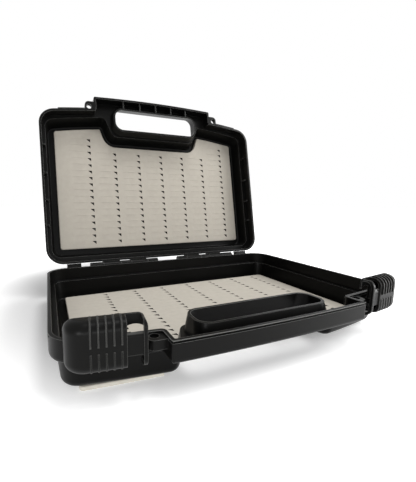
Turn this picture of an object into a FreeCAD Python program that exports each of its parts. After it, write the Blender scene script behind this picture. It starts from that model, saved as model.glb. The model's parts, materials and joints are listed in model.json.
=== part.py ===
import FreeCAD, Part
import math
import os

# Large moulded fly box, standing open: a deep base, a lid on two hinge pins, two sliding
# latches, a slit foam panel in each half and a plain foam pad under the base.
#
# Frame: X to the right, Y to the back, Z up, in millimetres.  The origin is the middle of the
# pad's lower face.  Each half is drawn rim up with its rim plane at height 0 and its back face
# at Y 0, so a place "forward" lies at -Y and a "depth" lies at -Z.  The lid is drawn the same
# way, turned over onto the base and then swung open.

Vec = FreeCAD.Vector
os.makedirs("parts", exist_ok=True)

# Case outline
case_width = 305.0
case_depth = 201.85              # back face to the crown of the bowed front
front_bow_radius = 970.0
corner_radius = 20.0
shell_wall = 2.6

# Heights of the two halves, measured from the rim plane
base_height = 37.2
lid_height = 34.9
shelf_depth = 13.6               # rim to the ledge that runs round inside
shelf_thick = 2.2
band_edge_round = 3.2            # outer lower edge of the band and of the grip
band_edge_steps = 4
base_floor_thick = 2.8
lid_floor_thick = 2.5
rim_gap = 0.3                    # between the rims when closed
rim_groove_drop = 0.5            # groove round the outside of the base, below its rim
rim_groove_height = 1.5
rim_groove_depth = 1.1

# Deep tray below the ledge, at ledge height, and how far it draws in down to the floor
side_ledge = 7.0                 # from the case's outside to the tray
front_ledge = 4.35
tray_width = case_width - 2 * side_ledge
tray_back = 8.5
tray_front = case_depth - front_ledge
tray_bow_radius = 765.0
tray_side_draft = 1.8
tray_front_draft = 4.5
tray_wall = 2.5
tray_corner_radius = 10.5
tray_lip_radius = 6.0            # convex corners beside the finger recess
floor_fillet = 2.0
underside_round = 6.5

# Handle, between the two corners that hold an eye and a latch each
latch_corner = 67.0              # from the case's side to the handle's end
handle_width = case_width - 2 * latch_corner
handle_proud = 14.65             # middle of the grip from the crown of the front
handle_reach = case_depth + handle_proud
handle_bow_radius = 1660.0
handle_corner_radius = 1.6
handle_wall = 2.6

# Finger recess, which bites into the front of the tray, and the hand hole in front of it
hole_inset = 27.9                # from the handle's end to the hole
hole_width = handle_width - 2 * hole_inset
hole_length = 24.6
recess_length = 29.0
recess_back = tray_front - recess_length
recess_side_gap = 2.4            # hand hole to the recess at its back
recess_back_width = hole_width + 2 * recess_side_gap
recess_slant = 15.0              # each side runs out this far towards the front
recess_front_width = recess_back_width + 2 * recess_slant
recess_spread = 3.0              # how far it opens towards the outside
recess_corner_radius = 11.0
hole_setback = 6.3
hole_back = recess_back + hole_setback
hole_front = hole_back + hole_length
hole_corner_radius = 9.0
hole_flare = 2.0
hole_front_flare = 2.7           # and this much more on the grip's side
ring_wall = 2.2
lid_ring_growth = 1.0
grip_rib_pitch = 23.2
grip_rib_count = 1 + 2 * int(hole_width / 2 / grip_rib_pitch)
grip_rib_thick = 1.4
lid_grip_rib_drop = 1.2
base_grip_rib_drop = 9.0

# Small gussets between the lid's rim wall and its ledge
gusset_shares = (0.24, 0.396, 0.562, 0.738)
gusset_thick = 1.6
gusset_drop = 6.0

# Padlock eyes in the corners beside the handle
eye_gap = 6.5                    # from the handle's end
eye_setback = 1.05
eye_offset = handle_width / 2 + eye_gap
eye_forward = case_depth - eye_setback
eye_radius = 5.2
eye_nose = 1.5                   # the plate's round end lies this far in front of the bore
eye_bore_radius = 3.2
base_eye_drop = 1.4              # the base's eyes lie this far below its rim plane
base_eye_thick = 6.6
lid_eye_thick = 5.0

# Hinge along the back
hinge_behind = 4.85
hinge_drop = 1.45                # axis below the base's rim plane
pin_radius = 1.5
pin_clearance = 0.05
knuckle_radius = 4.3
knuckle_start = 15.0
knuckle_gap = 0.4
inner_knuckle = 14.0
middle_knuckle = 13.6
outer_knuckle = 16.0
base_knuckles = inner_knuckle + middle_knuckle + outer_knuckle
stop_corner_gap = 2.5            # from the corner's round to a stop lug
stop_width = 16.3
stop_end = case_width / 2 - corner_radius - stop_corner_gap
stop_start = stop_end - stop_width
knuckle_stop_gap = 10.5          # from the stop lug to the outer knuckle
hinge_length = stop_start - knuckle_stop_gap - knuckle_start
lid_knuckle = (hinge_length - base_knuckles - 4 * knuckle_gap) / 2
knuckle_lengths = (inner_knuckle, lid_knuckle, middle_knuckle, lid_knuckle, outer_knuckle)
pin_inset = 0.8                  # pin ends lie this far inside the end knuckles
web_depth = 9.5
web_head = 0.85                  # a web starts this far from its own rim plane
web_toe = 1.0
open_angle = 101.83
stop_clearance = 0.2
stop_reach = 8.5
stop_depth = 10.0
stop_nose = 1.2
stop_step = 0.6
stop_heel = 2.5

# Foam panels and their slits
foam_side_clearance = 10.0       # to the tray's edge at ledge height
foam_back_clearance = 10.1
foam_front_clearance = 10.6
foam_width = tray_width - 2 * foam_side_clearance
lid_foam_back = tray_back + foam_back_clearance
base_foam_shift = 4.8            # the base's panel lies this much further forward than the lid's
pad_shift = 1.3                  # and the pad under the base this much
pad_bow_radius = 1300.0
pad_notch_growth = 3.2           # its notch is wider by this on each side
foam_front = tray_front - foam_front_clearance
foam_bow_radius = tray_bow_radius
notch_back_clearance = 9.5       # round the finger recess
notch_side_clearance = 8.0
notch_front_clearance = 2.0
foam_notch_back = recess_back - notch_back_clearance
foam_notch_back_width = recess_back_width + 2 * notch_side_clearance
foam_notch_front_width = recess_front_width + 2 * notch_front_clearance
foam_notch_radius = 18.0
foam_corner_radius = 3.0
lid_foam_thick = 5.85
base_foam_thick = 5.9
pad_thick = 2.7
adhesive_thick = 0.3
adhesive_margin = 2.0
slit_side_margin = 18.2          # from the panel's sides
slit_row_margin = 8.2            # from its back, its front and its notch
slit_column_pitch = 34.5
slit_row_pitch = 8.716
slit_length = 27.0
slit_width = 0.5
slit_depth = 3.0
slit_notch_length = 4.9          # three-sided hole at a slit's right end
slit_notch_width = 4.2
slit_notch_past = 0.5            # its right side lies this far past the slit's end

# Sliding latches
latch_gap = 35.25                # from the handle's end to the latch's middle
latch_middle = handle_width / 2 + latch_gap
latch_length = 47.3
latch_above = 14.8               # above the base's rim plane
latch_below = 16.3
latch_rear = 2.0                 # off the case's front wall
latch_front = 13.4
latch_wall = 2.3
latch_edge_radius = 6.5
latch_end_radius = 12.6
latch_travel = 11.0
frame_width = 2.4                # thin C-shaped frame at the inner end
frame_corner_radius = 4.5
window_width = 9.5
rear_wall_setback = 1.3          # from the window, so that the locked latch clears the eyes
window_strip_thick = 1.4         # strip behind the upper window
window_strip_clearance = 0.4     # above the lid's eye, which slides in below it
window_arch_rise = 2.4
bridge_top = 6.6                 # above the rim plane
bridge_bottom = -7.4
bridge_setback = 1.0             # behind the latch's front
bridge_slope_height = 2.6        # slope along its upper edge
bridge_slope_depth = 1.0
ridge_count = 5
ridge_pitch = 4.3
ridge_width = 1.0
ridge_height = 1.1
ridge_first = 3.0                # from the window to the first ridge's middle
ridge_bottom = 1.0
lower_ridge_top = -3.0
lower_ridge_height = 0.4
lip_start = 10.5
lip_rear = 0.4
lip_drop = 0.8                   # the lip's top below the latch's
strip_eye_gap = 3.5              # the lid's strip, from the eye's middle
strip_reach = 9.1                # and past the latch's middle
strip_start = eye_offset + strip_eye_gap
strip_end = latch_middle + strip_reach
strip_proud = 1.4
strip_bottom = 0.4
lip_clearance = 0.3              # between a latch's lip and the lid's strip below it
rail_middle = -7.4               # height of the rail's middle from the rim plane
rail_neck_height = 5.0
rail_head_height = 8.0
rail_head_thick = 2.5
rail_clearance = 0.3
rail_end_clearance = 0.25
slot_margin = 6.2                # from the latch's outer end to the end of its slot
slot_end = latch_length / 2 - slot_margin
tooth_length = 1.0
tooth_height = 0.55

overrun = 2.0                    # cuts run this far past what they cut

rim_height = pad_thick + adhesive_thick + base_height
back_face = case_depth / 2
half_case = case_width / 2
half_handle = handle_width / 2
strip_top = latch_above - latch_wall - lip_clearance - rim_gap


def bow(radius, crown, x):
    """Forward place of a bowed front at a distance x from the middle."""
    return crown - radius + math.sqrt(radius * radius - x * x)


def plan(x, forward, height=0.0):
    """A point of a half, given forward of the back face."""
    return Vec(x, -forward, height)


def line(a, b):
    return Part.LineSegment(a, b).toShape()


def arc(a, middle, b):
    return Part.Arc(a, middle, b).toShape()


def polygon_face(points):
    return Part.Face(Part.makePolygon(points + points[:1]))


def box_between(x0, x1, forward0, forward1, z0, z1):
    """A block given by its limits across, forward and up."""
    size = (x1 - x0, forward1 - forward0, z1 - z0)
    return Part.makeBox(*size, plan(x0, forward1, z0))


def section_bar(section, x0, x1):
    """A bar along X from (y, z) points of its section."""
    face = polygon_face([Vec(x0, y, z) for y, z in section])
    return face.extrude(Vec(x1 - x0, 0, 0))


def upright_edges(shape, places, tolerance):
    """The edges that stand up at the given (x, forward) places."""
    found = []
    for edge in shape.Edges:
        middle = edge.valueAt((edge.FirstParameter + edge.LastParameter) / 2)
        ends = [vertex.Point for vertex in edge.Vertexes]
        if len(ends) == 2 and abs(ends[0].z - ends[1].z) > tolerance:
            for x, forward in places:
                if math.hypot(abs(middle.x) - x, middle.y + forward) < tolerance:
                    found.append(edge)
    return found


def round_uprights(shape, rounds, tolerance=shell_wall):
    """Round the standing edges near each place (x, forward, radius)."""
    for x, forward, radius in rounds:
        edges = upright_edges(shape, [(x, forward)], tolerance)
        if edges and radius > 0:
            shape = shape.makeFillet(radius, edges)
    return shape


def band(inset, z0, z1):
    """The upper band of a half as a solid block: bowed front and handle, drawn in by inset."""
    half = half_case - inset
    grip = half_handle - inset
    reach = handle_reach - inset
    crown = case_depth - inset
    bow_radius = front_bow_radius - inset
    grip_bow = handle_bow_radius - inset
    side = bow(bow_radius, crown, half)
    step = bow(bow_radius, crown, grip)
    tip = bow(grip_bow, reach, grip)
    quarter = (half + grip) / 2
    rise = bow(bow_radius, crown, quarter)
    edges = [
        line(plan(-half, inset, z0), plan(half, inset, z0)),
        line(plan(half, inset, z0), plan(half, side, z0)),
        arc(plan(half, side, z0), plan(quarter, rise, z0), plan(grip, step, z0)),
        line(plan(grip, step, z0), plan(grip, tip, z0)),
        arc(plan(grip, tip, z0), plan(0, reach, z0), plan(-grip, tip, z0)),
        line(plan(-grip, tip, z0), plan(-grip, step, z0)),
        arc(plan(-grip, step, z0), plan(-quarter, rise, z0), plan(-half, side, z0)),
        line(plan(-half, side, z0), plan(-half, inset, z0)),
    ]
    block = Part.Face(Part.Wire(edges)).extrude(Vec(0, 0, z1 - z0))
    outer_round = corner_radius - inset
    grip_round = max(handle_corner_radius - inset, handle_corner_radius / 2)
    return round_uprights(block, [(half, inset, outer_round), (half, side, outer_round),
                                  (grip, tip, grip_round), (grip, step, handle_corner_radius + inset)])


def lowest_wire(block):
    """The outline of a block's underside."""
    return min(block.Faces, key=lambda face: face.CenterOfMass.z).OuterWire


def round_band(depth):
    """The band from a depth up to the rim plane, with its lower outer edge rounded."""
    outlines = []
    for index in range(band_edge_steps + 1):
        turn = math.pi / 2 * index / band_edge_steps
        inset = band_edge_round * (1 - math.sin(turn))
        height = -depth + band_edge_round * (1 - math.cos(turn))
        outlines.append(lowest_wire(band(inset, height, 0.0)))
    lower = Part.makeLoft(outlines, True, True)
    return lower.fuse(band(0.0, -depth + band_edge_round, 0.0)).removeSplitter()


def tray(grow, depth0, depth1, floor_depth):
    """The deep tray between two depths, grown outwards by grow, with the finger recess."""
    drop = floor_depth - shelf_depth

    def share(depth):
        return (depth - shelf_depth) / drop

    def rectangle(depth):
        half = tray_width / 2 + grow - tray_side_draft * share(depth)
        back = tray_back - grow + tray_side_draft * share(depth)
        ends = [plan(-half, back, -depth), plan(half, back, -depth),
                plan(half, case_depth, -depth), plan(-half, case_depth, -depth)]
        return Part.makePolygon(ends + ends[:1])

    def recess(depth):
        back = recess_back + grow - recess_spread * share(depth)
        near = recess_back_width / 2 - grow + recess_spread * share(depth)
        far = recess_front_width / 2 - grow + recess_spread * share(depth)
        ends = [plan(-near, back, -depth), plan(near, back, -depth),
                plan(far, case_depth + overrun, -depth), plan(-far, case_depth + overrun, -depth)]
        return Part.makePolygon(ends + ends[:1])

    block = Part.makeLoft([rectangle(depth1), rectangle(depth0)], True, True)
    centre = plan(0, tray_front - tray_bow_radius, -depth1)
    front_low = tray_bow_radius + grow - tray_front_draft * share(depth1)
    front_high = tray_bow_radius + grow - tray_front_draft * share(depth0)
    block = block.common(Part.makeCone(front_low, front_high, depth1 - depth0, centre))
    block = block.cut(Part.makeLoft([recess(depth1), recess(depth0)], True, True))
    middle = share((depth0 + depth1) / 2)
    half = tray_width / 2 + grow - tray_side_draft * middle
    back = tray_back - grow + tray_side_draft * middle
    front_radius = tray_bow_radius + grow - tray_front_draft * middle
    crown = tray_front + grow - tray_front_draft * middle
    side = bow(front_radius, crown, half)
    near = recess_back_width / 2 - grow + recess_spread * middle
    far = recess_front_width / 2 - grow + recess_spread * middle
    recess_at = recess_back + grow - recess_spread * middle
    lip_share = (bow(front_radius, crown, far) - recess_at) / (case_depth + overrun - recess_at)
    lip = near + (far - near) * lip_share
    lip_forward = bow(front_radius, crown, lip)
    return round_uprights(block, [(half, back, tray_corner_radius + grow),
                                  (half, side, tray_corner_radius + grow),
                                  (near, recess_at, recess_corner_radius - grow),
                                  (lip, lip_forward, tray_lip_radius + grow)],
                          tray_corner_radius / 2)


def round_floor(block, depth, radius):
    """Round the edges of a tray block at its floor."""
    edges = [edge for edge in block.Edges
             if all(abs(vertex.Z + depth) < overrun / 100 for vertex in edge.Vertexes)]
    return block.makeFillet(radius, edges)


def flared_ring(growth, depth0, depth1):
    """The hand hole as a block, flared towards the outside and grown by growth."""
    sections = []
    for depth in (depth1, depth0):
        opening = depth / (shelf_depth + shelf_thick)
        spread = growth + hole_flare * opening
        half = hole_width / 2 + spread
        back = hole_back - spread
        front = hole_front + spread + hole_front_flare * opening
        radius = hole_corner_radius + growth
        ends = [plan(-half, back, -depth), plan(half, back, -depth),
                plan(half, front, -depth), plan(-half, front, -depth)]
        sections.append(rounded_polygon(ends, radius))
    return Part.makeLoft(sections, True, True)


def rounded_polygon(points, radius):
    """A closed wire through points with every corner rounded alike."""
    return rounded_outline(points, [radius] * len(points))


def rounded_outline(points, radii):
    """A closed wire through points, each corner rounded by its own radius."""
    edges = []
    count = len(points)
    tangents = []
    for index in range(count):
        corner = points[index]
        before = (points[index - 1] - corner).normalize()
        after = (points[(index + 1) % count] - corner).normalize()
        opening = math.acos(max(-1.0, min(1.0, before.dot(after))))
        reach = radii[index] / math.tan(opening / 2)
        bisector = (before + after).normalize()
        nearest = radii[index] / math.sin(opening / 2) - radii[index]
        tangents.append((corner + before * reach, corner + bisector * nearest, corner + after * reach))
    for index in range(count):
        start, middle, end = tangents[index]
        edges.append(arc(start, middle, end))
        edges.append(line(end, tangents[(index + 1) % count][0]))
    return Part.Wire(edges)


def half_shell(height, floor_thick, ring_growth, rib_drop):
    """What both halves share: band, ledge, tray, hand hole ring and grip ribs."""
    floor_depth = height - floor_thick
    shelf_under = shelf_depth + shelf_thick
    outside = tray(tray_wall, shelf_depth, height, floor_depth)
    outside = round_floor(outside, height, underside_round)
    shell = round_band(shelf_under).fuse(outside)
    hollow = tray(0.0, shelf_depth - overrun, floor_depth, floor_depth)
    hollow = round_floor(hollow, floor_depth, floor_fillet)
    inner_band = band(shell_wall, -shelf_depth, overrun)
    shell = shell.cut(inner_band).cut(hollow)
    ring = flared_ring(ring_growth + ring_wall, 0.0, shelf_under)
    shell = shell.fuse(ring)
    ribs = []
    for index in range(grip_rib_count):
        x = (index - (grip_rib_count - 1) / 2) * grip_rib_pitch
        ribs.append(box_between(x - grip_rib_thick / 2, x + grip_rib_thick / 2, hole_front,
                                handle_reach - handle_wall, -shelf_depth - shelf_thick / 2, -rib_drop))
    shell = shell.fuse(ribs)
    return shell.cut(flared_ring(ring_growth, -overrun, shelf_under + overrun))


def gussets():
    """The small stiffeners between the lid's side walls and its ledge."""
    plates = []
    for share in gusset_shares:
        forward = case_depth * share
        for side in (-1, 1):
            wall_face = side * (half_case - shell_wall / 2)
            ledge_edge = side * (tray_width / 2 + shelf_thick / 2)
            low, high = sorted((wall_face, ledge_edge))
            plates.append(box_between(low, high, forward - gusset_thick / 2, forward + gusset_thick / 2,
                                      -shelf_depth - shelf_thick / 2, -gusset_drop))
    return plates


def eye_plate(side, drop, thick):
    """A padlock eye in the corner between the front wall and the handle's end."""
    x = side * eye_offset
    wall = side * (half_handle - handle_wall / 2)
    corner = bow(front_bow_radius, case_depth, eye_offset + eye_radius) - shell_wall / 2
    nose = eye_forward + eye_nose
    bottom = -drop - thick
    low, high = sorted((x, wall))
    plate = Part.makeCylinder(eye_radius, thick, plan(x, nose, bottom))
    plate = plate.fuse(box_between(low, high, corner, nose + eye_radius, bottom, -drop))
    low, high = sorted((x + side * eye_radius, wall))
    return plate.fuse(box_between(low, high, corner, nose, bottom, -drop)).removeSplitter()


def eye_bore(side, drop, thick):
    return Part.makeCylinder(eye_bore_radius, thick + 2 * overrun,
                             plan(side * eye_offset, eye_forward, -drop - thick - overrun))


def knuckle_spans():
    """The (start, end) of each knuckle along X on the right, base and lid in turn."""
    spans = []
    start = knuckle_start
    for length in knuckle_lengths:
        spans.append((start, start + length))
        start += length + knuckle_gap
    return spans


def knuckle(side, span, axis_height, section):
    """One hinge knuckle with its web, bored for the pin."""
    low, high = sorted((side * span[0], side * span[1]))
    centre = Vec(low, hinge_behind, axis_height)
    barrel = Part.makeCylinder(knuckle_radius, high - low, centre, Vec(1, 0, 0))
    return barrel.fuse(section_bar(section, low, high)).removeSplitter()


def knuckle_bore(side, span, axis_height):
    low, high = sorted((side * span[0], side * span[1]))
    centre = Vec(low - overrun, hinge_behind, axis_height)
    return Part.makeCylinder(pin_radius + pin_clearance, high - low + 2 * overrun, centre, Vec(1, 0, 0))


def stop_lug(side):
    """A lug on the base's back that the open lid leans on."""
    lean = math.radians(open_angle)
    seat = hinge_behind - stop_clearance

    def seat_height(forward):
        return (seat - forward * math.cos(lean)) / math.sin(lean)

    wall = hinge_behind + shell_wall / 2
    section = [(wall, -stop_depth), (wall, stop_step), (stop_step, stop_step),
               (-stop_nose, seat_height(-stop_nose)), (-stop_reach, seat_height(-stop_reach)),
               (-stop_reach, 0.0), (stop_heel, -stop_depth)]
    points = [(hinge_behind - forward, rise - hinge_drop) for forward, rise in section]
    low, high = sorted((side * stop_start, side * stop_end))
    return section_bar(points, low, high)


def latch_place(side):
    """Where a latch slides: the point on the front wall and its turn about Z."""
    forward = bow(front_bow_radius, case_depth, latch_middle)
    turn = math.degrees(math.asin(latch_middle / front_bow_radius))
    return plan(side * latch_middle, forward), side * turn


def to_front(shape, side):
    """Move a shape drawn along the slide (x outwards on the right, -y off the wall) to its side."""
    if side < 0:
        shape = shape.mirror(Vec(0, 0, 0), Vec(1, 0, 0))
    place, turn = latch_place(side)
    shape.rotate(Vec(0, 0, 0), Vec(0, 0, 1), turn)
    shape.translate(place)
    return shape


def latch_block(shrink):
    """The latch's rounded outside, or the same drawn in by shrink."""
    x0 = -latch_length / 2 - overrun
    x1 = latch_length / 2 - shrink
    z0 = -latch_below + shrink
    z1 = latch_above - shrink
    front = latch_front - shrink
    block = box_between(x0, x1, latch_rear - overrun, front, z0, z1)
    corner = [edge for edge in upright_edges(block, [(x1, front)], latch_wall) if edge.CenterOfMass.x > 0]
    block = block.makeFillet(latch_end_radius - shrink, corner)
    rims = []
    for edge in block.Edges:
        middle = edge.valueAt((edge.FirstParameter + edge.LastParameter) / 2)
        flat = abs(edge.Vertexes[0].Z - edge.Vertexes[-1].Z) < overrun / 100
        inside = middle.x > x0 + overrun / 2 and middle.y < -latch_rear + overrun / 2
        if flat and inside:
            rims.append(edge)
    return block.makeFillet(latch_edge_radius - shrink, rims)


def window_strip(x0, x1):
    """The strip that closes the upper window at the rear, arched over the way to the eye."""
    bottom = rim_gap + lid_eye_thick + window_strip_clearance
    strip = box_between(x0, x1, latch_rear, latch_rear + window_strip_thick, bottom, latch_above)
    radius = (x1 - x0) ** 2 / (8 * window_arch_rise) + window_arch_rise / 2
    centre = plan((x0 + x1) / 2, latch_rear - overrun, bottom + window_arch_rise - radius)
    return strip.cut(Part.makeCylinder(radius, window_strip_thick + 2 * overrun, centre, Vec(0, -1, 0)))


def latch():
    """One latch, drawn along its slide for the right side."""
    x0 = -latch_length / 2
    x1 = latch_length / 2
    window_start = x0 + frame_width
    window_end = window_start + window_width
    mouth = window_end + rear_wall_setback
    trim = box_between(x0, x1, latch_rear, latch_front, -latch_below, latch_above)
    corner = [edge for edge in trim.Edges if edge.CenterOfMass.x < x0 + overrun / 100
              and edge.CenterOfMass.z > latch_above - overrun / 100]
    trim = trim.makeFillet(frame_corner_radius, corner)
    body = latch_block(0.0).common(trim)
    hollow = latch_block(latch_wall)
    body = body.cut(hollow)
    rear_wall = box_between(mouth, x1 - latch_wall / 2, latch_rear, latch_rear + latch_wall,
                            -latch_below + latch_wall / 2, latch_above - latch_wall / 2)
    body = body.fuse(rear_wall.common(latch_block(latch_wall / 4)))
    slot_half = rail_neck_height / 2 + rail_clearance
    body = body.cut(box_between(mouth - overrun, slot_end, latch_rear - overrun,
                                latch_rear + latch_wall + overrun / 4,
                                rail_middle - slot_half, rail_middle + slot_half))
    for low, high in ((rail_middle - slot_half - tooth_height, rail_middle - slot_half + tooth_height),
                      (rail_middle + slot_half - tooth_height, rail_middle + slot_half + tooth_height)):
        body = body.fuse(box_between(mouth, mouth + tooth_length, latch_rear,
                                     latch_rear + latch_wall, low, high))
    body = body.cut(box_between(window_start, window_end, latch_rear - overrun, latch_front + overrun,
                                bridge_top, latch_above + overrun))
    body = body.fuse(window_strip(x0, mouth).common(trim))
    body = body.cut(box_between(window_start, window_end, latch_rear - overrun, latch_front + overrun,
                                -latch_below - overrun, bridge_bottom))
    body = body.cut(box_between(window_start, window_end, latch_front - bridge_setback,
                                latch_front + overrun, bridge_bottom, bridge_top))
    face = latch_front - bridge_setback
    slope = [(-face, bridge_top - bridge_slope_height), (bridge_slope_depth - face, bridge_top),
             (-face, bridge_top)]
    body = body.cut(section_bar(slope, window_start, window_end))
    lip = box_between(lip_start, x1 - latch_edge_radius, lip_rear, latch_rear + latch_wall,
                      latch_above - latch_wall, latch_above - lip_drop)
    body = body.fuse(lip)
    keep = []
    for height, low, high in ((ridge_height, ridge_bottom, latch_above + overrun),
                              (lower_ridge_height, -latch_below - overrun, lower_ridge_top)):
        skin = latch_block(-height).cut(latch_block(0.0))
        for index in range(ridge_count):
            x = window_end + ridge_first + index * ridge_pitch
            bar = box_between(x - ridge_width / 2, x + ridge_width / 2, latch_rear + latch_wall,
                              latch_front + overrun, low, high)
            keep.append(skin.common(bar))
    return body.fuse(keep).removeSplitter()


def rail():
    """The T-shaped rail on the base's front wall that carries a latch."""
    mouth = -latch_length / 2 + frame_width + window_width + rear_wall_setback
    start = mouth + tooth_length + rail_end_clearance
    end = slot_end - latch_travel - rail_end_clearance
    head_rear = latch_rear + latch_wall + rail_clearance
    half = rail_neck_height / 2
    neck = box_between(start, end, -shell_wall / 2, head_rear + rail_head_thick / 2,
                       rail_middle - half, rail_middle + half)
    half = rail_head_height / 2
    head = box_between(start, end, head_rear, head_rear + rail_head_thick,
                       rail_middle - half, rail_middle + half)
    return neck.fuse(head).removeSplitter()


def foam_blank(shift, inset, z0, z1, bow_radius=foam_bow_radius, notch_growth=0.0, right_lobe=True):
    """A foam panel's notched outline between two heights, drawn in by inset."""
    half = foam_width / 2 - inset
    back = lid_foam_back + shift + inset
    crown = foam_front + shift - inset
    sheet = box_between(-half, half, back, crown, z0, z1)
    centre = plan(0, crown - bow_radius, z0)
    sheet = sheet.common(Part.makeCylinder(bow_radius, z1 - z0, centre))
    notch_back = foam_notch_back + shift - inset
    near = foam_notch_back_width / 2 + notch_growth + inset
    far = foam_notch_front_width / 2 + notch_growth + inset
    ends = [plan(-near, notch_back, z0), plan(near, notch_back, z0),
            plan(far, crown, z0), plan(-far, crown, z0)]
    sheet = sheet.cut(polygon_face(ends).extrude(Vec(0, 0, z1 - z0)))
    if not right_lobe:
        sheet = sheet.cut(box_between(0.0, half + overrun, notch_back, crown + overrun, z0, z1))
    return round_uprights(sheet, [(near, notch_back, foam_notch_radius),
                                  (half, back, foam_corner_radius), (half, notch_back, foam_corner_radius),
                                  (half, bow(bow_radius, crown, half), foam_corner_radius)])


def slits(shift, top, thick, facing):
    """The slit pattern: columns of cuts, each with a small three-sided hole at its right end.

    The holes' straight sides lie along the slits and their points on the other side, towards
    the front where facing is 1 and towards the back where it is -1.
    """
    bottom = top - thick - overrun
    cuts = []
    columns = 1 + int((foam_width - 2 * slit_side_margin - slit_length) / slit_column_pitch)
    side_length = bow(foam_bow_radius, foam_front, foam_width / 2) - lid_foam_back
    for column in range(columns):
        x = slit_side_margin + slit_length + column * slit_column_pitch - foam_width / 2
        outer = x < -foam_notch_front_width / 2 or x - slit_length > foam_notch_front_width / 2
        length = side_length if outer else foam_notch_back - lid_foam_back
        rows = 1 + int((length - 2 * slit_row_margin) / slit_row_pitch)
        for row in range(rows):
            middle = lid_foam_back + shift + slit_row_margin + row * slit_row_pitch
            forward = middle - facing * slit_notch_width / 3
            end = x + slit_notch_past
            notch = [plan(end - slit_notch_length, forward, bottom), plan(end, forward, bottom),
                     plan(end, forward + facing * slit_notch_width, bottom)]
            cut = polygon_face(notch).extrude(Vec(0, 0, thick + 2 * overrun))
            kerf = box_between(x - slit_length, x - slit_notch_length / 2, forward - slit_width / 2,
                               forward + slit_width / 2, top - slit_depth, top + overrun)
            cuts.append(cut.fuse(kerf))
    return cuts


def slit_foam(shift, floor_depth, thick, facing):
    """A slit panel on its adhesive sheet, both on the floor of a half."""
    low = -floor_depth
    sheet = foam_blank(shift, adhesive_margin, low, low + adhesive_thick)
    top = low + adhesive_thick + thick
    panel = foam_blank(shift, 0.0, low + adhesive_thick, top).cut(slits(shift, top, thick, facing))
    return panel, sheet


def pad_blank(inset, z0, z1):
    """The pad under the base: a flatter front, a wider notch and no lobe at the right front."""
    return foam_blank(pad_shift, inset, z0, z1, pad_bow_radius, pad_notch_growth, False)


def rim_groove():
    """What the groove takes out of the base's outside, just below its rim."""
    high = -rim_groove_drop
    low = high - rim_groove_height
    return band(-overrun, low, high).cut(band(rim_groove_depth, low, high))


def base_shell():
    shell = half_shell(base_height, base_floor_thick, 0.0, base_grip_rib_drop).cut(rim_groove())
    axis = -hinge_drop
    section = [(-shell_wall / 2, -web_head), (hinge_behind, -web_head),
               (hinge_behind + knuckle_radius, axis), (-shell_wall / 2, -web_depth)]
    for side in (-1, 1):
        for span in knuckle_spans()[0::2]:
            shell = shell.fuse(knuckle(side, span, axis, section))
            shell = shell.cut(knuckle_bore(side, span, axis))
        shell = shell.fuse(stop_lug(side))
        shell = shell.fuse(eye_plate(side, base_eye_drop, base_eye_thick))
        shell = shell.cut(eye_bore(side, base_eye_drop, base_eye_thick))
        shell = shell.fuse(to_front(rail(), side))
    return shell.removeSplitter()


def lid_shell():
    shell = half_shell(lid_height, lid_floor_thick, lid_ring_growth, lid_grip_rib_drop)
    shell = shell.fuse(gussets())
    axis = hinge_drop + rim_gap
    section = [(-shell_wall / 2, -web_head), (web_toe, -web_head),
               (hinge_behind - knuckle_radius / 2, axis),
               (hinge_behind + knuckle_radius, axis), (-shell_wall / 2, -web_depth)]
    strip = band(-strip_proud, -strip_top, -strip_bottom).cut(band(shell_wall / 2, -strip_top, 0.0))
    for side in (-1, 1):
        for span in knuckle_spans()[1::2]:
            shell = shell.fuse(knuckle(side, span, axis, section))
            shell = shell.cut(knuckle_bore(side, span, axis))
        shell = shell.fuse(eye_plate(side, 0.0, lid_eye_thick)).cut(eye_bore(side, 0.0, lid_eye_thick))
        low, high = sorted((side * strip_start, side * strip_end))
        shell = shell.fuse(strip.common(box_between(low, high, tray_back, handle_reach,
                                                    -strip_top, -strip_bottom)))
    return shell.removeSplitter()


def hinge_pin(side):
    spans = knuckle_spans()
    start = spans[0][0] + pin_inset
    end = spans[-1][1] - pin_inset
    low, high = sorted((side * start, side * end))
    return Part.makeCylinder(pin_radius, high - low, Vec(low, hinge_behind, -hinge_drop), Vec(1, 0, 0))


def onto_base(shape):
    """From a half's own place to the base's place in the part."""
    shape.translate(Vec(0, back_face, rim_height))
    return shape


def onto_lid(shape):
    """From a half's own place, turned over onto the base and swung open on the hinge."""
    shape = shape.mirror(Vec(0, 0, 0), Vec(0, 0, 1))
    shape.translate(Vec(0, back_face, rim_height + rim_gap))
    axis = Vec(0, back_face + hinge_behind, rim_height - hinge_drop)
    shape.rotate(axis, Vec(1, 0, 0), -open_angle)
    return shape


def save(name, shape):
    shape.exportStep("parts/" + name + ".step")
    print(name, "solids", len(shape.Solids), "valid", shape.isValid(), "mm3", round(shape.Volume, 1))


base_panel, base_sheet = slit_foam(base_foam_shift, base_height - base_floor_thick, base_foam_thick, 1)
lid_panel, lid_sheet = slit_foam(0.0, lid_height - lid_floor_thick, lid_foam_thick, -1)
pad_top = -base_height - adhesive_thick
save("base_shell", onto_base(base_shell()))
save("lid_shell", onto_lid(lid_shell()))
save("base_slit_foam", onto_base(base_panel))
save("lid_slit_foam", onto_lid(lid_panel))
save("base_foam_adhesive", onto_base(base_sheet))
save("lid_foam_adhesive", onto_lid(lid_sheet))
save("bottom_foam_pad", onto_base(pad_blank(0.0, pad_top - pad_thick, pad_top)))
save("bottom_pad_adhesive", onto_base(pad_blank(adhesive_margin, pad_top, -base_height)))
save("left_latch", onto_base(to_front(latch(), -1)))
save("right_latch", onto_base(to_front(latch(), 1)))
save("left_hinge_pin", onto_base(hinge_pin(-1)))
save("right_hinge_pin", onto_base(hinge_pin(1)))
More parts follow.
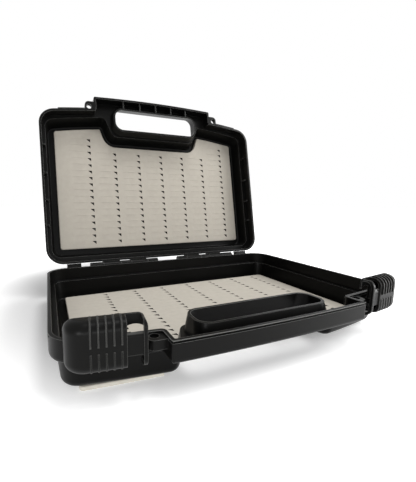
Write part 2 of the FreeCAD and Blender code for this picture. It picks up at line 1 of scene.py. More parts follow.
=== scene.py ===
# %% [markdown]
# A moulded fly box, standing open
#
# The box is a black plastic case with a lid on a pin hinge, two sliding latches and a panel of
# slit foam in each half. The hard pieces arrive ready made, at their real size, as a fixed frame.
# This lesson dresses them: it sets the camera and the light, gives every surface a finish, and
# replaces the plain foam blocks by panels with real slits, notches and soft edges.

# %% Load the fixed frame
import json
import math
import random

import bmesh
import bpy
from mathutils import Matrix, Quaternion, Vector
from mathutils.geometry import delaunay_2d_cdt


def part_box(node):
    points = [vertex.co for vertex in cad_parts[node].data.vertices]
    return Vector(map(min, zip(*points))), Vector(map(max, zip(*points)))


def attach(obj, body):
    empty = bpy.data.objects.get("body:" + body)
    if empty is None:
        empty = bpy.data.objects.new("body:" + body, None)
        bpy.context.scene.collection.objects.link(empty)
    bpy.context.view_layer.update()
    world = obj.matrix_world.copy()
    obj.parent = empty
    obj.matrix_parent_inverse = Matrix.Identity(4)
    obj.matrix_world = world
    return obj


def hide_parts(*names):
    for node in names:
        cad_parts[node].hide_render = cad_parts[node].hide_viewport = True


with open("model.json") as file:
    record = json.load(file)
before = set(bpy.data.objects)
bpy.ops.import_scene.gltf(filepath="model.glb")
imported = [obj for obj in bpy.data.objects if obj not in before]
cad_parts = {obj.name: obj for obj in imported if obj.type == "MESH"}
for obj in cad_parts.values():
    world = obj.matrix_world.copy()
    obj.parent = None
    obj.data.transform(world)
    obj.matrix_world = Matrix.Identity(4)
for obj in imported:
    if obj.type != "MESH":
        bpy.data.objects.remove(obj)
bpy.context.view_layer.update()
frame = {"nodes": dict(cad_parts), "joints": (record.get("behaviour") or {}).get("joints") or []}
nodes = frame["nodes"]
scene = bpy.context.scene
scene.view_settings.view_transform = "Standard"
MM = 0.001
print("nodes:", ", ".join(sorted(nodes)))

# %% [markdown]
# Camera
#
# The picture was taken close to the box with a wide lens, so the near latch looks large. The even
# grid of notches in the foam gives the lens and the place of the camera. The picture was also
# cropped, so the lens axis isn't in its middle: the camera's shift puts it back.

# %% Camera at the photographer's place
PICTURE_SIZE = (416, 482)
LENS_AXIS_PIXEL = (173.7, 242.8)
FOCAL_PIXELS = 292.3
SENSOR = 36.0
CLIP_START = 10.0 * MM
camera_place = Vector((-148.2, -260.1, 122.2)) * MM
camera_heading = math.radians(23.26)
camera_pitch = math.radians(-8.57)
camera_roll = math.radians(0.35)

long_side = max(PICTURE_SIZE)
lens = bpy.data.cameras.new("photo_camera")
lens.sensor_width = SENSOR
lens.lens = FOCAL_PIXELS / long_side * SENSOR
lens.shift_x = (PICTURE_SIZE[0] / 2 - LENS_AXIS_PIXEL[0]) / long_side
lens.shift_y = (LENS_AXIS_PIXEL[1] - PICTURE_SIZE[1] / 2) / long_side
lens.clip_start = CLIP_START
camera = bpy.data.objects.new("photo_camera", lens)
scene.collection.objects.link(camera)
camera.rotation_mode = "QUATERNION"
level = Matrix.Rotation(-camera_heading, 3, "Z") @ Matrix.Rotation(math.pi / 2 + camera_pitch, 3, "X")
camera.rotation_quaternion = level.to_quaternion() @ Quaternion((0, 0, 1), camera_roll)
camera.location = camera_place
scene.camera = camera
print("lens", round(lens.lens, 2), "mm, shift", round(lens.shift_x, 4), round(lens.shift_y, 4))

# %% [markdown]
# Background
#
# The background is pure white. A world bright enough for that would wash out the black plastic, so
# the world is white only where the camera, a reflection or glass shows it. As a lamp it is dimmer.

# %% White background
WHITE = (1, 1, 1, 1)
AMBIENT = 0.40


def seen_directly(tree):
    """A value of 1 for rays that show the background: from the camera, mirrors or glass."""
    path = tree.nodes.new("ShaderNodeLightPath")
    total = path.outputs["Is Camera Ray"]
    for name in ("Is Glossy Ray", "Is Transmission Ray"):
        either = tree.nodes.new("ShaderNodeMath")
        either.operation = "MAXIMUM"
        tree.links.new(total, either.inputs[0])
        tree.links.new(path.outputs[name], either.inputs[1])
        total = either.outputs[0]
    return total


def between(tree, low, high, share, start=0.0, end=1.0):
    """A value that runs smoothly from low to high while share runs from start to end."""
    ramp = tree.nodes.new("ShaderNodeMapRange")
    ramp.interpolation_type = "SMOOTHSTEP"
    ramp.inputs["From Min"].default_value = start
    ramp.inputs["From Max"].default_value = end
    ramp.inputs["To Min"].default_value = low
    ramp.inputs["To Max"].default_value = high
    tree.links.new(share, ramp.inputs["Value"])
    return ramp.outputs["Result"]


world = bpy.data.worlds.new("white_studio")
scene.world = world
world.use_nodes = True
sky = world.node_tree.nodes["Background"]
sky.inputs["Color"].default_value = WHITE
sky_strength = between(world.node_tree, AMBIENT, 1.0, seen_directly(world.node_tree))
world.node_tree.links.new(sky_strength, sky.inputs["Strength"])
print("world as a lamp:", AMBIENT)

# %% [markdown]
# Table
#
# The box stands on white paper that runs on into the background. The paper glows, but only for the
# camera and for reflections: a little near the box, so that its soft shadow stays, and more farther
# out, so that the paper ends in pure white. Near and far are measured from the middle of the hinge.

# %% White paper on the table
TABLE_SIZE = 8.0
PAPER_TONE = 0.8
PAPER_ROUGHNESS = 0.9
NEAR_GLOW = 0.15
FAR_GLOW = 0.9
GLOW_MIDDLE = (0.0, 0.1, 0.0)
GLOW_START = 0.16
GLOW_END = 0.3


def distance_from_hinge(tree):
    """How far a place on the table lies from where the hinge stands."""
    place = tree.nodes.new("ShaderNodeTexCoord")
    length = tree.nodes.new("ShaderNodeVectorMath")
    length.operation = "DISTANCE"
    length.inputs[1].default_value = GLOW_MIDDLE
    tree.links.new(place.outputs["Object"], length.inputs[0])
    return length.outputs["Value"]


def white_paper():
    material = bpy.data.materials.new("white_paper")
    material.use_nodes = True
    tree = material.node_tree
    shader = tree.nodes["Principled BSDF"]
    shader.inputs["Base Color"].default_value = (PAPER_TONE, PAPER_TONE, PAPER_TONE, 1)
    shader.inputs["Roughness"].default_value = PAPER_ROUGHNESS
    shader.inputs["Specular IOR Level"].default_value = 0.0
    shader.inputs["Emission Color"].default_value = WHITE
    glow = between(tree, NEAR_GLOW, FAR_GLOW, distance_from_hinge(tree), GLOW_START, GLOW_END)
    shown = tree.nodes.new("ShaderNodeMath")
    shown.operation = "MULTIPLY"
    tree.links.new(glow, shown.inputs[0])
    tree.links.new(seen_directly(tree), shown.inputs[1])
    tree.links.new(shown.outputs[0], shader.inputs["Emission Strength"])
    return material


sheet = bpy.data.meshes.new("table")
reach = TABLE_SIZE / 2
corners = [(-reach, -reach, 0), (reach, -reach, 0), (reach, reach, 0), (-reach, reach, 0)]
sheet.from_pydata(corners, [], [(0, 1, 2, 3)])
table = bpy.data.objects.new("table", sheet)
table.data.materials.append(white_paper())
scene.collection.objects.link(table)
print("table", TABLE_SIZE, "m wide")

# %% [markdown]
# Studio lamps
#
# A soft box high on the right does most of the work and leaves a soft shadow on the left. A small
# one overhead draws the bright lines on the rims, and a low one in front reaches the edge of the pad
# under the base. A narrow box low on the left draws a soft highlight on the near latch, and a low
# box on the right lights the far latch. None of them shows in the picture itself.

# %% Soft boxes
BOX_MIDDLE = (0, 0.02, 0.06)
NEAR_LATCH = (-0.1, -0.1, 0.05)
FAR_LATCH = (0.12, -0.1, 0.05)
PAD_EDGE = (-0.08, -0.1, 0.0)


def soft_box(name, place, aim, size, watts):
    lamp = bpy.data.lights.new(name, "AREA")
    lamp.shape = "RECTANGLE"
    lamp.size = size[0]
    lamp.size_y = size[1]
    lamp.energy = watts
    box = bpy.data.objects.new(name, lamp)
    box.location = place
    box.rotation_euler = (Vector(aim) - Vector(place)).to_track_quat("-Z", "Y").to_euler()
    box.visible_camera = False
    scene.collection.objects.link(box)


soft_box("key_right", place=(0.95, -0.45, 0.85), aim=BOX_MIDDLE, size=(0.5, 0.5), watts=10.5)
soft_box("overhead", place=(0.15, -0.25, 1.2), aim=BOX_MIDDLE, size=(0.4, 0.35), watts=6)
soft_box("front_low", place=(-0.25, -1.0, 0.09), aim=PAD_EDGE, size=(0.5, 0.1), watts=1.8)
soft_box("left_low", place=(-0.64, -0.74, 0.13), aim=NEAR_LATCH, size=(0.12, 0.22), watts=2.2)
soft_box("right_low", place=(0.75, -0.35, 0.14), aim=FAR_LATCH, size=(0.25, 0.25), watts=2.0)
print("lamps:", [light.name for light in bpy.data.lights])

# %% [markdown]
# Moulded skin
#
# Moulded plastic is never quite smooth: the mould was spark eroded, so the skin has a fine grain,
# and handling leaves patches that shine a little more. Both could be painted, but noise needs no
# picture and never repeats. An effect that several finishes share is one node group with named
# inputs, so that each finish gives it its own values.

# %% Node group for moulded skin
GRAIN_DETAIL = 2.0
PATCH_DETAIL = 4.0


def new_group(name, inputs, values, normals=()):
    """An empty shader group with float inputs (name, value), and value or normal outputs."""
    group = bpy.data.node_groups.new(name, "ShaderNodeTree")
    for socket, value in inputs:
        made = group.interface.new_socket(socket, in_out="INPUT", socket_type="NodeSocketFloat")
        made.default_value = value
    for socket in values:
        group.interface.new_socket(socket, in_out="OUTPUT", socket_type="NodeSocketFloat")
    for socket in normals:
        group.interface.new_socket(socket, in_out="OUTPUT", socket_type="NodeSocketVector")
    return group, group.nodes.new("NodeGroupInput"), group.nodes.new("NodeGroupOutput")


def noise(tree, place, scale, detail):
    texture = tree.nodes.new("ShaderNodeTexNoise")
    texture.inputs["Detail"].default_value = detail
    tree.links.new(place, texture.inputs["Vector"])
    tree.links.new(scale, texture.inputs["Scale"])
    return texture.outputs["Fac"]


def moulded_skin_group():
    scales = [("Grain Scale", 2200.0), ("Patch Scale", 22.0)]
    group, given, made = new_group("moulded_skin", scales, ["Grain", "Patches"])
    place = group.nodes.new("ShaderNodeTexCoord").outputs["Object"]
    grain = noise(group, place, given.outputs["Grain Scale"], GRAIN_DETAIL)
    patches = noise(group, place, given.outputs["Patch Scale"], PATCH_DETAIL)
    group.links.new(grain, made.inputs["Grain"])
    group.links.new(patches, made.inputs["Patches"])
    return group


moulded_skin = moulded_skin_group()
print("group", moulded_skin.name, "with", len(moulded_skin.nodes), "nodes")

# %% [markdown]
# Soft edges
#
# No moulded edge is sharp. A bevel node turns the normals round each edge, so that it catches the
# light without more geometry. The group also gives a mask for the outer edges and the tops of thin
# ridges, where the plastics paint a lighter colour as a painted highlight. Rays sent into the plastic
# find these places, because there they soon meet another face.

# %% Node group for soft edges
EDGE_SAMPLES = 6
THICKNESS_SAMPLES = 8
EDGE_OPENNESS = 0.5
FLAT_OPENNESS = 0.76


def soft_edges_group():
    """Normals that turn smoothly round sharp edges, and a mask that is 1 on outer edges."""
    group, given, made = new_group("soft_edges", [("Radius", 0.6 * MM)], ["Edge"], ["Normal"])
    rounded = group.nodes.new("ShaderNodeBevel")
    rounded.samples = EDGE_SAMPLES
    group.links.new(given.outputs["Radius"], rounded.inputs["Radius"])
    thickness = group.nodes.new("ShaderNodeAmbientOcclusion")
    thickness.inside = True
    thickness.only_local = True
    thickness.samples = THICKNESS_SAMPLES
    group.links.new(given.outputs["Radius"], thickness.inputs["Distance"])
    edge = between(group, 1.0, 0.0, thickness.outputs["AO"], EDGE_OPENNESS, FLAT_OPENNESS)
    group.links.new(edge, made.inputs["Edge"])
    group.links.new(rounded.outputs["Normal"], made.inputs["Normal"])
    return group


soft_edges = soft_edges_group()
print("group", soft_edges.name, "with", len(soft_edges.nodes), "nodes")

# %% [markdown]
# Foam cells
#
# Closed-cell foam shows its small cells from close by, and a soft mottling from farther away. A
# Voronoi texture looks like cells, and a wide noise like mottling.

# %% Node group for foam cells
MOTTLE_DETAIL = 3.0


def foam_cells_group():
    scales = [("Cell Scale", 1500.0), ("Mottle Scale", 160.0)]
    group, given, made = new_group("foam_cells", scales, ["Cells", "Mottle"])
    place = group.nodes.new("ShaderNodeTexCoord").outputs["Object"]
    cells = group.nodes.new("ShaderNodeTexVoronoi")
    group.links.new(place, cells.inputs["Vector"])
    group.links.new(given.outputs["Cell Scale"], cells.inputs["Scale"])
    group.links.new(cells.outputs["Distance"], made.inputs["Cells"])
    mottle = noise(group, place, given.outputs["Mottle Scale"], MOTTLE_DETAIL)
    group.links.new(mottle, made.inputs["Mottle"])
    return group


foam_cells = foam_cells_group()
print("group", foam_cells.name, "with", len(foam_cells.nodes), "nodes")

# %% [markdown]
# Tools for the finishes
#
# A finish starts as a plain shader. Numbers that hold all over a surface sit on the shader itself,
# and only what varies comes from the groups, mixed into two tones or turned into a bump.

# %% Start, mix and bump
def start_material(name):
    material = bpy.data.materials.new(name)
    material.use_nodes = True
    tree = material.node_tree
    return material, tree, tree.nodes["Principled BSDF"]


def place_group(tree, group, values):
    node = tree.nodes.new("ShaderNodeGroup")
    node.node_tree = group
    for socket, value in values.items():
        node.inputs[socket].default_value = value
    return node


def tone_mix(tree, dark, light, share):
    """A colour between two tones. dark may also be the output of another node."""
    mix = tree.nodes.new("ShaderNodeMix")
    mix.data_type = "RGBA"
    first, second = [socket for socket in mix.inputs if socket.type == "RGBA"]
    if isinstance(dark, tuple):
        first.default_value = (*dark, 1)
    else:
        tree.links.new(dark, first)
    second.default_value = (*light, 1)
    tree.links.new(share, mix.inputs["Factor"])
    return next(socket for socket in mix.outputs if socket.type == "RGBA")


def bumped(tree, height, distance, strength, normal=None):
    bump = tree.nodes.new("ShaderNodeBump")
    bump.inputs["Distance"].default_value = distance
    bump.inputs["Strength"].default_value = strength
    tree.links.new(height, bump.inputs["Height"])
    if normal:
        tree.links.new(normal, bump.inputs["Normal"])
    return bump.outputs["Normal"]


print("groups to place:", [group.name for group in bpy.data.node_groups])

# %% [markdown]
# Black plastic
#
# The shells and latches are the same kind of satin black plastic, the latches a shade greyer. Black
# plastic mirrors its white surroundings, so its gloss is kept low, and a lighter colour painted on its
# edges, a painted highlight, carries the form.

# %% Plastic of shells and latches
GRAIN_HEIGHT = 0.05 * MM
GRAIN_STRENGTH = 0.2


def satin_plastic(name, dark, light, edge_highlight_tone, edge_radius, smooth, rough, gloss):
    """Black plastic with a fine mould grain, uneven shine and a painted highlight on its outer edges.
    """
    material, tree, shader = start_material(name)
    skin = place_group(tree, moulded_skin, {})
    edges = place_group(tree, soft_edges, {"Radius": edge_radius})
    shades = tone_mix(tree, dark, light, skin.outputs["Patches"])
    # a lighter colour on the outer edges and ridge tops: a painted highlight
    with_edge_highlight = tone_mix(tree, shades, edge_highlight_tone, edges.outputs["Edge"])
    shine = between(tree, smooth, rough, skin.outputs["Patches"])
    grain = bumped(tree, skin.outputs["Grain"], GRAIN_HEIGHT, GRAIN_STRENGTH, edges.outputs["Normal"])
    tree.links.new(with_edge_highlight, shader.inputs["Base Color"])
    tree.links.new(shine, shader.inputs["Roughness"])
    tree.links.new(grain, shader.inputs["Normal"])
    shader.inputs["Specular IOR Level"].default_value = gloss
    return material


# edge_highlight_tone is the colour of the painted highlight on the edges
shell_plastic = satin_plastic(
    "shell_plastic", dark=(0.0028, 0.0028, 0.0026), light=(0.0045, 0.0045, 0.0042),
    edge_highlight_tone=(0.16, 0.16, 0.154), edge_radius=0.55 * MM, smooth=0.26, rough=0.38, gloss=0.09)
latch_plastic = satin_plastic(
    "latch_plastic", dark=(0.003, 0.003, 0.0028), light=(0.005, 0.005, 0.0047),
    edge_highlight_tone=(0.065, 0.065, 0.062), edge_radius=1.0 * MM, smooth=0.27, rough=0.36, gloss=0.08)
print("plastics:", shell_plastic.name, latch_plastic.name)

# %% [markdown]
# Foam
#
# Panels and pad are closed-cell foam of one recipe, each with its own tones. The base's panel has the
# foam's own colour. The lid's panel is painted a shade darker, as painted shade for the shade it
# hangs in, and the pad is painted paler, as painted light on its edge in the shade under the base.
# The walls of the notches are painted nearly black, as painted shade: in the real panel the cut is
# narrow and hardly any light reaches it.

# %% Foam of panels, pad and notches
CELL_HEIGHT = 0.15 * MM
CELL_STRENGTH = 0.35
FOAM_ROUGHNESS = (0.8, 0.95)
FOAM_GLOSS = 0.15


def foam(name, dark, light):
    material, tree, shader = start_material(name)
    cells = place_group(tree, foam_cells, {})
    mottle = cells.outputs["Mottle"]
    dents = bumped(tree, cells.outputs["Cells"], CELL_HEIGHT, CELL_STRENGTH)
    tree.links.new(tone_mix(tree, dark, light, mottle), shader.inputs["Base Color"])
    tree.links.new(between(tree, *FOAM_ROUGHNESS, mottle), shader.inputs["Roughness"])
    tree.links.new(dents, shader.inputs["Normal"])
    shader.inputs["Specular IOR Level"].default_value = FOAM_GLOSS
    return material


# near-black foam for the notch walls: painted shade
notch_painted_shade = foam("notch_painted_shade", dark=(0.006, 0.006, 0.006), light=(0.012, 0.012, 0.011))
base_foam = foam("base_foam", dark=(0.45, 0.42, 0.365), light=(0.53, 0.495, 0.435))
# the same foam painted darker: painted shade on the lid's panel
lid_foam = foam("lid_foam", dark=(0.335, 0.31, 0.27), light=(0.395, 0.368, 0.32))
# the same foam painted paler: painted light on the pad's edge under the base
pad_foam = foam("pad_foam", dark=(0.74, 0.7, 0.62), light=(0.84, 0.8, 0.71))
print("foams:", notch_painted_shade.name, base_foam.name, lid_foam.name, pad_foam.name)

# %% [markdown]
# Adhesive and steel
#
# The adhesive sheets are dark films that show only at the bottom of the notches. The hinge pins are
# drawn steel wire. Both use the noise of the moulded skin at other scales, which saves another group.

# %% Film and pins
FILM_ROUGHNESS = (0.5, 0.7)
STEEL_ROUGHNESS = (0.22, 0.4)


def adhesive_film():
    material, tree, shader = start_material("adhesive_film")
    skin = place_group(tree, moulded_skin, {"Grain Scale": 900.0, "Patch Scale": 60.0})
    shades = tone_mix(tree, (0.012, 0.012, 0.012), (0.03, 0.03, 0.028), skin.outputs["Patches"])
    tree.links.new(shades, shader.inputs["Base Color"])
    shine = between(tree, *FILM_ROUGHNESS, skin.outputs["Patches"])
    tree.links.new(shine, shader.inputs["Roughness"])
    return material


def pin_steel():
    material, tree, shader = start_material("pin_steel")
    skin = place_group(tree, moulded_skin, {"Grain Scale": 700.0, "Patch Scale": 90.0})
    shades = tone_mix(tree, (0.48, 0.48, 0.49), (0.66, 0.66, 0.67), skin.outputs["Patches"])
    tree.links.new(shades, shader.inputs["Base Color"])
    shine = between(tree, *STEEL_ROUGHNESS, skin.outputs["Grain"])
    tree.links.new(shine, shader.inputs["Roughness"])
    shader.inputs["Metallic"].default_value = 1.0
    return material


film = adhesive_film()
steel = pin_steel()
print("materials:", [material.name for material in bpy.data.materials])

# %% [markdown]
# Hard pieces
#
# Shells, latches, films and pins keep the meshes of the frame and only get their finish.

# %% Finishes on the hard pieces
def dress(node, material):
    piece = nodes[node]
    piece.data.materials.clear()
    piece.data.materials.append(material)
    print(node, "in", material.name)


for half in ("base", "lid"):
    dress(half + "_shell", shell_plastic)
    dress(half + "_foam_adhesive", film)
dress("bottom_pad_adhesive", film)
for side in ("left", "right"):
    dress(side + "_latch", latch_plastic)
    dress(side + "_hinge_pin", steel)

# %% [markdown]
# Foam panels
#
# Each panel is a sheet of closed-cell foam, stuck to the floor of its half. Its front is bowed and
# has a wide notch, where the ring of the hand hole comes through. The outline is a list of corners,
# each with a radius, so that one function can draw it at any inset from the edge.

# %% Outline of a panel
CORNER_STEPS = 6
BOW_STEPS = 10
MOUTH_ROUNDS = 4
PANEL_CORNER = 3.0 * MM
NOTCH_CORNER = 18.0 * MM
NOTCH_DEPTH = 27.9 * MM
NOTCH_BACK_WIDTH = 136.0 * MM
NOTCH_FRONT_WIDTH = 154.0 * MM
LIP_CORNER = 1.0 * MM


def bow_drop(across, radius):
    """How far the bowed front falls back from its crown."""
    return radius - math.sqrt(radius ** 2 - across ** 2)


def notch_mouth(growth, radius):
    """Half the finger notch's width where its side meets the bowed front."""
    near = NOTCH_BACK_WIDTH / 2 + growth
    far = NOTCH_FRONT_WIDTH / 2 + growth
    mouth = far
    for attempt in range(MOUTH_ROUNDS):
        mouth = near + (far - near) * (1 - bow_drop(mouth, radius) / NOTCH_DEPTH)
    return mouth


class PanelShape:
    """What sets a panel's outline and thickness. length runs from the back to the bow's crown."""

    def __init__(self, width, front, thick, bow_radius, notch_growth=0.0, right_lobe=True):
        self.width = width
        self.length = front + bow_drop(notch_mouth(notch_growth, bow_radius), bow_radius)
        self.thick = thick
        self.bow_radius = bow_radius
        self.notch_growth = notch_growth
        self.right_lobe = right_lobe


def round_corner(before, corner, after, radius):
    """Points of an arc that rounds a corner between its two neighbours."""
    back = (before - corner).normalized()
    ahead = (after - corner).normalized()
    half_angle = back.angle(ahead) / 2
    start = corner + back * (radius / math.tan(half_angle))
    end = corner + ahead * (radius / math.tan(half_angle))
    centre = corner + (back + ahead).normalized() * (radius / math.sin(half_angle))
    sweep = (start - centre).angle_signed(end - centre)
    points = []
    for step in range(CORNER_STEPS + 1):
        turn = Matrix.Rotation(-sweep * step / CORNER_STEPS, 2)
        points.append(centre + turn @ (start - centre))
    return points


def panel_corners(shape, inset):
    """The outline's corners with their radius, in flat places: across, and forward of the back."""
    half = shape.width / 2 - inset
    crown = shape.length - inset
    near = NOTCH_BACK_WIDTH / 2 + shape.notch_growth + inset
    far = notch_mouth(shape.notch_growth + inset, shape.bow_radius)
    notch = shape.length - NOTCH_DEPTH - inset

    def bow(across):
        return crown - bow_drop(across, shape.bow_radius)

    right = [(Vector((half, inset)), PANEL_CORNER), (Vector((half, bow(half))), PANEL_CORNER)]
    for step in range(1, BOW_STEPS):
        across = half + (far - half) * step / BOW_STEPS
        right.append((Vector((across, bow(across))), 0.0))
    right.append((Vector((far, bow(far))), LIP_CORNER))
    right.append((Vector((near, notch)), NOTCH_CORNER))
    left = [(Vector((-point.x, point.y)), radius) for point, radius in reversed(right)]
    if not shape.right_lobe:
        right = [right[0], (Vector((half, notch)), PANEL_CORNER)]
    return right + left


def panel_ring(shape, inset):
    """The panel's notched outline, drawn in by inset, as flat points."""
    corners = panel_corners(shape, inset)
    ring = []
    for index, (corner, radius) in enumerate(corners):
        if radius:
            before = corners[index - 1][0]
            after = corners[(index + 1) % len(corners)][0]
            ring.extend(round_corner(before, corner, after, radius))
        else:
            ring.append(corner)
    return ring


notch_sizes = [round(size / MM, 1) for size in (NOTCH_BACK_WIDTH, NOTCH_FRONT_WIDTH, NOTCH_DEPTH)]
print("finger notch, narrow, wide and deep:", notch_sizes, "mm")

# %% [markdown]
# Slits
#
# A slit is a closed cut: two lips of foam that press together and stand up a hair, with a fine
# crease between them. The notch at its right end goes right through, so the dark floor shows. It
# has a straight side along the slit and comes to a point, away from the hinge in the base and
# towards it in the lid, because both panels are cut alike and one is turned over.

# %% Places of the slits
COLUMN_PITCH = 34.5 * MM
FIRST_COLUMN = -90.3 * MM
COLUMNS = 7
ROW_PITCH = 8.716 * MM
FIRST_ROW = 8.2 * MM
OUTER_ROWS = 17
INNER_ROWS = 15


def slit_places():
    """The (across, forward) place of each notch's right side."""
    for column in range(COLUMNS):
        rows = OUTER_ROWS if column in (0, COLUMNS - 1) else INNER_ROWS
        for row in range(rows):
            yield FIRST_COLUMN + column * COLUMN_PITCH, FIRST_ROW + row * ROW_PITCH


print("slits on a panel:", len(list(slit_places())))

# %% [markdown]
# Cutting the slits
#
# A mesh with over a hundred openings would be slow to cut with booleans. It is quicker to lay all the
# outlines flat, let a constrained triangulation fill the sheet between them, and give each point a
# height. A little chance in the height of the lips keeps the rows from looking machined.

# %% Flat sheet with slits
WELD = 0.001 * MM
SLIT_LENGTH = 27.0 * MM
SLIT_STEPS = 5
SLIT_WANDER = 0.1 * MM
NOTCH_LENGTH = 4.9 * MM
NOTCH_WIDTH = 4.2 * MM
NOTCH_PAST = 0.5 * MM
CREASE_WIDTH = 0.24 * MM
CREASE_DEPTH = 0.15 * MM
LIP_SIDES = (-1, 1)
LIP_REACH = 1.1 * MM
LIP_RISE = 0.14 * MM
LOWEST_LIP_SHARE = 0.3


class FlatSheet:
    """Flat points with a height each, and the edges that a triangulation has to keep."""

    def __init__(self, ring):
        self.points = []
        self.heights = []
        self.edges = []
        self.ring = ring
        self.chain([self.add(point) for point in ring], closed=True)

    def add(self, point, height=0.0):
        self.points.append(Vector(point))
        self.heights.append(height)
        return len(self.points) - 1

    def chain(self, indices, closed):
        pairs = list(zip(indices, indices[1:]))
        if closed:
            pairs.append((indices[-1], indices[0]))
        self.edges.extend(pairs)

    def fill(self):
        """The triangulated points, their heights and the triangles."""
        made = delaunay_2d_cdt(self.points, self.edges, [], 0, WELD)
        heights = [self.heights[sources[0]] for sources in made[3]]
        return made[0], heights, made[2]


def add_slit(sheet, across, row, facing, draw):
    """One slit with its lips and crease. Returns the corners of its notch."""
    forward = row - facing * NOTCH_WIDTH / 3  # puts the middle of the three-sided notch on its row
    right = across + NOTCH_PAST
    left = across - SLIT_LENGTH
    tip = Vector((right - NOTCH_LENGTH, forward))
    corner = Vector((right, forward))
    point = Vector((right, forward + facing * NOTCH_WIDTH))
    notch = [sheet.add(place) for place in (tip, corner, point)]
    sheet.chain(notch, closed=True)
    lines = {-1: [], 0: [], 1: []}
    for step in range(1, SLIT_STEPS):
        along = tip.x - (tip.x - left) * step / SLIT_STEPS
        middle = forward + draw.uniform(-SLIT_WANDER, SLIT_WANDER)
        for offset, line in lines.items():
            line.append(sheet.add((along, middle + offset * CREASE_WIDTH / 2), -CREASE_DEPTH))
        for offset in LIP_SIDES:
            sheet.add((along, middle + offset * LIP_REACH))
        for offset in LIP_SIDES:
            sheet.heights[lines[offset][-1]] = LIP_RISE * draw.uniform(LOWEST_LIP_SHARE, 1.0)
    end = sheet.add((left, forward))
    for line in lines.values():
        sheet.chain([notch[0]] + line + [end], closed=False)
    return tip, corner, point


print("a slit is", round(SLIT_LENGTH / MM, 1), "mm long, its notch", round(NOTCH_LENGTH / MM, 1), "mm")

# %% [markdown]
# Filling the sheet
#
# The triangulation also fills the notches and the hollow of the front, so a triangle is kept only
# where its middle lies inside the outline and outside every notch.

# %% Faces between the outlines
TRIANGLE_SLACK = 1e-9


def inside_notch(point, notch):
    """True where a flat point lies in a notch's triangle."""
    a, b, c = notch
    sides = [(q - p).cross(point - p) for p, q in ((a, b), (b, c), (c, a))]
    return max(sides) < TRIANGLE_SLACK or min(sides) > -TRIANGLE_SLACK


def inside_ring(point, ring):
    """True where a flat point lies inside a closed outline."""
    inside = False
    before = ring[-1]
    for corner in ring:
        if (corner.y > point.y) != (before.y > point.y):
            share = (point.y - corner.y) / (before.y - corner.y)
            if point.x < corner.x + share * (before.x - corner.x):
                inside = not inside
        before = corner
    return inside


def fill_sheet(mesh, sheet, level, notches, placed):
    """Fill a flat sheet inside its ring and outside its notches, at a level."""
    points, heights, triangles = sheet.fill()
    verts = []
    for point, height in zip(points, heights):
        verts.append(mesh.verts.new(placed(point.x, point.y, level + height)))
    for triangle in triangles:
        middle = sum((points[index] for index in triangle), Vector((0, 0))) / 3
        close = [notch for notch in notches if (notch[1] - middle).length < NOTCH_LENGTH]
        in_notch = any(inside_notch(middle, notch) for notch in close)
        if inside_ring(middle, sheet.ring) and not in_notch:
            mesh.faces.new([verts[index] for index in triangle])


square = [Vector(corner) for corner in ((0, 0), (1, 0), (1, 1), (0, 1))]
print("middle of a square found inside it:", inside_ring(Vector((0.5, 0.5)), square))

# %% [markdown]
# From flat sheet to panel
#
# The sheet's edge rolls over in a few rings, because foam is never crisp at its edges. Walls close
# the outside and each notch, and a plain triangulation closes the underside.

# %% Build a panel
EDGE_ROUND = 0.9 * MM
EDGE_STEPS = 4
SHARP_ANGLE = math.radians(40)
NOTCH_SLOT = 1


def edge_rings(thick):
    """(inset, height) of the rings of a panel's outer side, from its foot to its top face."""
    rings = [(0.0, 0.0)]
    for step in range(EDGE_STEPS + 1):
        turn = math.pi / 2 * step / EDGE_STEPS
        rings.append((EDGE_ROUND * (1 - math.cos(turn)), thick - EDGE_ROUND * (1 - math.sin(turn))))
    return rings


def add_band(mesh, lower, upper):
    """Faces all the way round between two closed rings of vertices."""
    band = []
    for index in range(len(lower)):
        ahead = (index + 1) % len(lower)
        band.append(mesh.faces.new((lower[index], lower[ahead], upper[ahead], upper[index])))
    return band


def foam_mesh(shape, placed, facing, slit_seed):
    """The closed skin of a panel, and the corners of its notches."""
    mesh = bmesh.new()

    def raised(points, height):
        return [mesh.verts.new(placed(point.x, point.y, height)) for point in points]

    levels = [raised(panel_ring(shape, inset), height) for inset, height in edge_rings(shape.thick)]
    for lower, upper in zip(levels, levels[1:]):
        add_band(mesh, lower, upper)
    top = FlatSheet(panel_ring(shape, EDGE_ROUND))
    foot = FlatSheet(panel_ring(shape, 0.0))
    notches = []
    if slit_seed is not None:
        draw = random.Random(slit_seed)
        for across, forward in slit_places():
            notches.append(add_slit(top, across, forward, facing, draw))
            foot.chain([foot.add(point) for point in notches[-1]], closed=True)
    fill_sheet(mesh, top, shape.thick, notches, placed)
    fill_sheet(mesh, foot, 0.0, notches, placed)
    for notch in notches:
        # the notch walls take the painted shade
        for wall in add_band(mesh, raised(notch, 0.0), raised(notch, shape.thick)):
            wall.material_index = NOTCH_SLOT
    bmesh.ops.remove_doubles(mesh, verts=mesh.verts, dist=WELD)
    bmesh.ops.recalc_face_normals(mesh, faces=mesh.faces)
    return mesh, notches


def foam_panel(name, shape, placed, material, facing=0, slit_seed=None):
    """A closed foam panel. placed turns (across, forward, height) into a place in the frame."""
    mesh, notches = foam_mesh(shape, placed, facing, slit_seed)
    data = bpy.data.meshes.new(name)
    mesh.to_mesh(data)
    mesh.free()
    data.materials.append(material)
    if notches:
        data.materials.append(notch_painted_shade)
    data.shade_smooth()
    data.set_sharp_from_angle(angle=SHARP_ANGLE)
    piece = bpy.data.objects.new(name, data)
    scene.collection.objects.link(piece)
    return piece


print("a panel's edge rolls over in", EDGE_STEPS, "steps")

# %% [markdown]
# Where the panels go
#
# The base's panel and the pad lie flat, so their boxes give width, length and height. The lid stands
# open, so its panel is first swung shut about the hinge, measured there, built face down and swung
# back. The finger notch takes away the crown of the bow, so a panel's shape adds the bow's drop at
# the notch to the measured length.

# %% Places in base and lid
def base_place(node):
    low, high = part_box(node)
    size = high - low

    def placed(across, forward, height):
        return Vector((across, high.y - forward, low.z + height))

    return size, placed


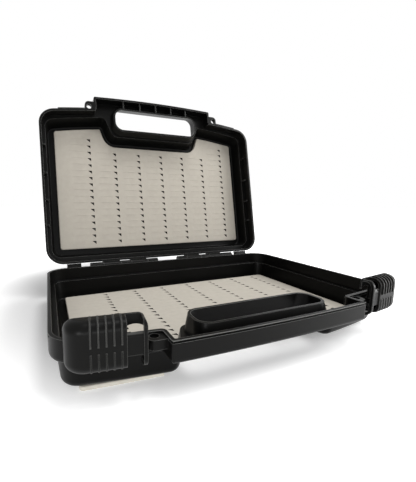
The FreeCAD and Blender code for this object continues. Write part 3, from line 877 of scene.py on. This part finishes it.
def lid_place(node):
    hinge = next(joint for joint in frame["joints"] if joint["name"] == "lid_hinge")
    pivot = Vector(hinge["pos_m"])
    shut = Matrix.Rotation(math.radians(hinge["range_deg"][1]), 3, Vector(hinge["axis"]))
    points = [shut @ (vertex.co - pivot) + pivot for vertex in nodes[node].data.vertices]
    low = Vector([min(point[axis] for point in points) for axis in range(3)])
    high = Vector([max(point[axis] for point in points) for axis in range(3)])
    size = high - low

    def placed(across, forward, height):
        closed = Vector((across, high.y - forward, high.z - height))
        return shut.transposed() @ (closed - pivot) + pivot

    return size, placed


base_size, in_base = base_place("base_slit_foam")
lid_size, in_lid = lid_place("lid_slit_foam")
pad_size, under_base = base_place("bottom_foam_pad")
for size in (base_size, lid_size, pad_size):
    print("foam block", [round(side / MM, 2) for side in size], "mm")

# %% [markdown]
# Panels and pad
#
# Both panels have the same cut. The pad under the base is plain, with a flatter front, a wider notch
# and no lobe at the right front. Each one takes the place of its plain block and moves with its body.

# %% Panels of base and lid, and the pad
PANEL_BOW = 765.0 * MM
PAD_BOW = 1300.0 * MM
PAD_NOTCH_GROWTH = 3.2 * MM
BASE_SEED = 11
LID_SEED = 12


def show_foam(piece, node, body):
    """Put a panel in the place of its plain block, on its body."""
    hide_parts(node)
    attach(piece, body)
    measures = [round(side / MM, 2) for side in piece.dimensions]
    print(piece.name, measures, "mm,", len(piece.data.polygons), "faces")


base_shape = PanelShape(*base_size, PANEL_BOW)
base_panel = foam_panel("base_foam_panel", base_shape, in_base, base_foam, 1, BASE_SEED)
show_foam(base_panel, "base_slit_foam", "base")
lid_shape = PanelShape(*lid_size, PANEL_BOW)
lid_panel = foam_panel("lid_foam_panel", lid_shape, in_lid, lid_foam, -1, LID_SEED)
show_foam(lid_panel, "lid_slit_foam", "lid")
pad_shape = PanelShape(*pad_size, PAD_BOW, PAD_NOTCH_GROWTH, right_lobe=False)
pad = foam_panel("underside_pad", pad_shape, under_base, pad_foam)
show_foam(pad, "bottom_foam_pad", "base")
